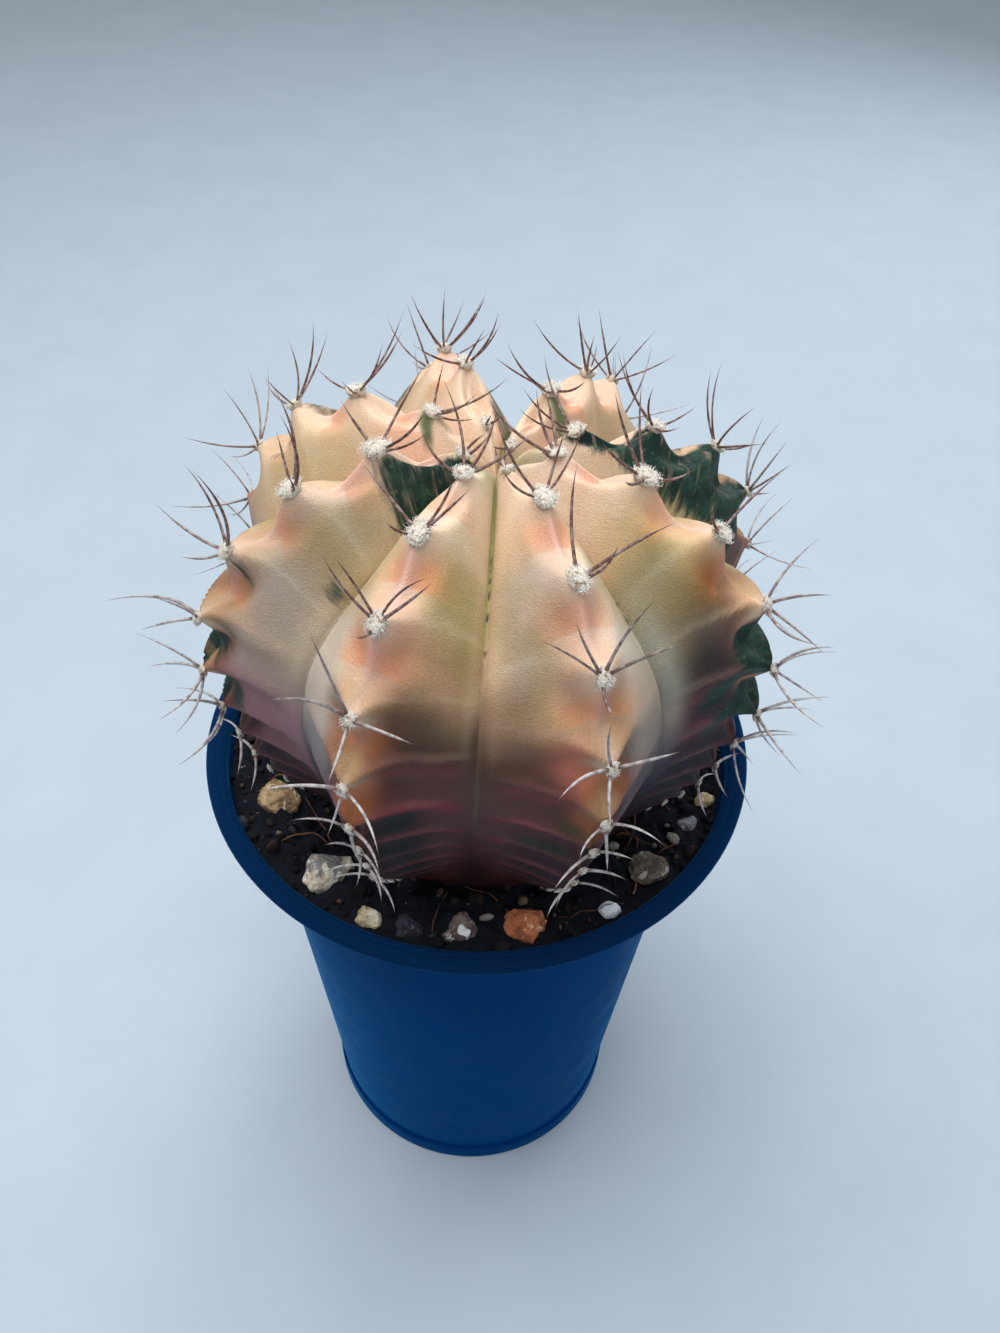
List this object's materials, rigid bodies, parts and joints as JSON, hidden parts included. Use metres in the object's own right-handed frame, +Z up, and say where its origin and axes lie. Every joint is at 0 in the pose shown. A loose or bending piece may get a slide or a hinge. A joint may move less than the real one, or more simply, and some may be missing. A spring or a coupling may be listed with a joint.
{
  "type": "potted chin cactus",
  "caption": "Small round variegated cactus with broad notched ribs and curved spines, growing in stony soil in a tapered plastic pot with a rolled lip.",
  "frame": {"origin": "middle of the pot's flat underside", "axes": "+Z up along the pot's axis; -Y to the front, where the two broad front ribs face; +X to the right"},
  "size_m": [0.085, 0.0881, 0.1597],
  "materials": {
    "pot_plastic": "satin",
    "potting_soil": "matte",
    "cactus_skin": "satin",
    "stone_cream_large": "matte",
    "stone_cream_small": "matte",
    "stone_dark_grey": "matte",
    "stone_speckled": "matte",
    "stone_orange": "matte",
    "stone_white": "matte",
    "stone_brown_grey": "matte",
    "stone_grey_small": "matte",
    "stone_beige_small": "matte",
    "stone_tan": "matte",
    "stone_back_grey": "matte",
    "stone_back_tan": "matte",
    "stone_back_brown": "matte"
  },
  "bodies": {
    "root": {"pot": "pot_plastic", "soil": "potting_soil", "cactus": "cactus_skin", "stone_cream_large": "stone_cream_large", "stone_cream_small": "stone_cream_small", "stone_dark_grey": "stone_dark_grey", "stone_speckled": "stone_speckled", "stone_orange": "stone_orange", "stone_white": "stone_white", "stone_brown_grey": "stone_brown_grey", "stone_grey_small": "stone_grey_small", "stone_beige_small": "stone_beige_small", "stone_tan": "stone_tan", "stone_back_grey": "stone_back_grey", "stone_back_tan": "stone_back_tan", "stone_back_brown": "stone_back_brown"}
  },
  "joints": []
}
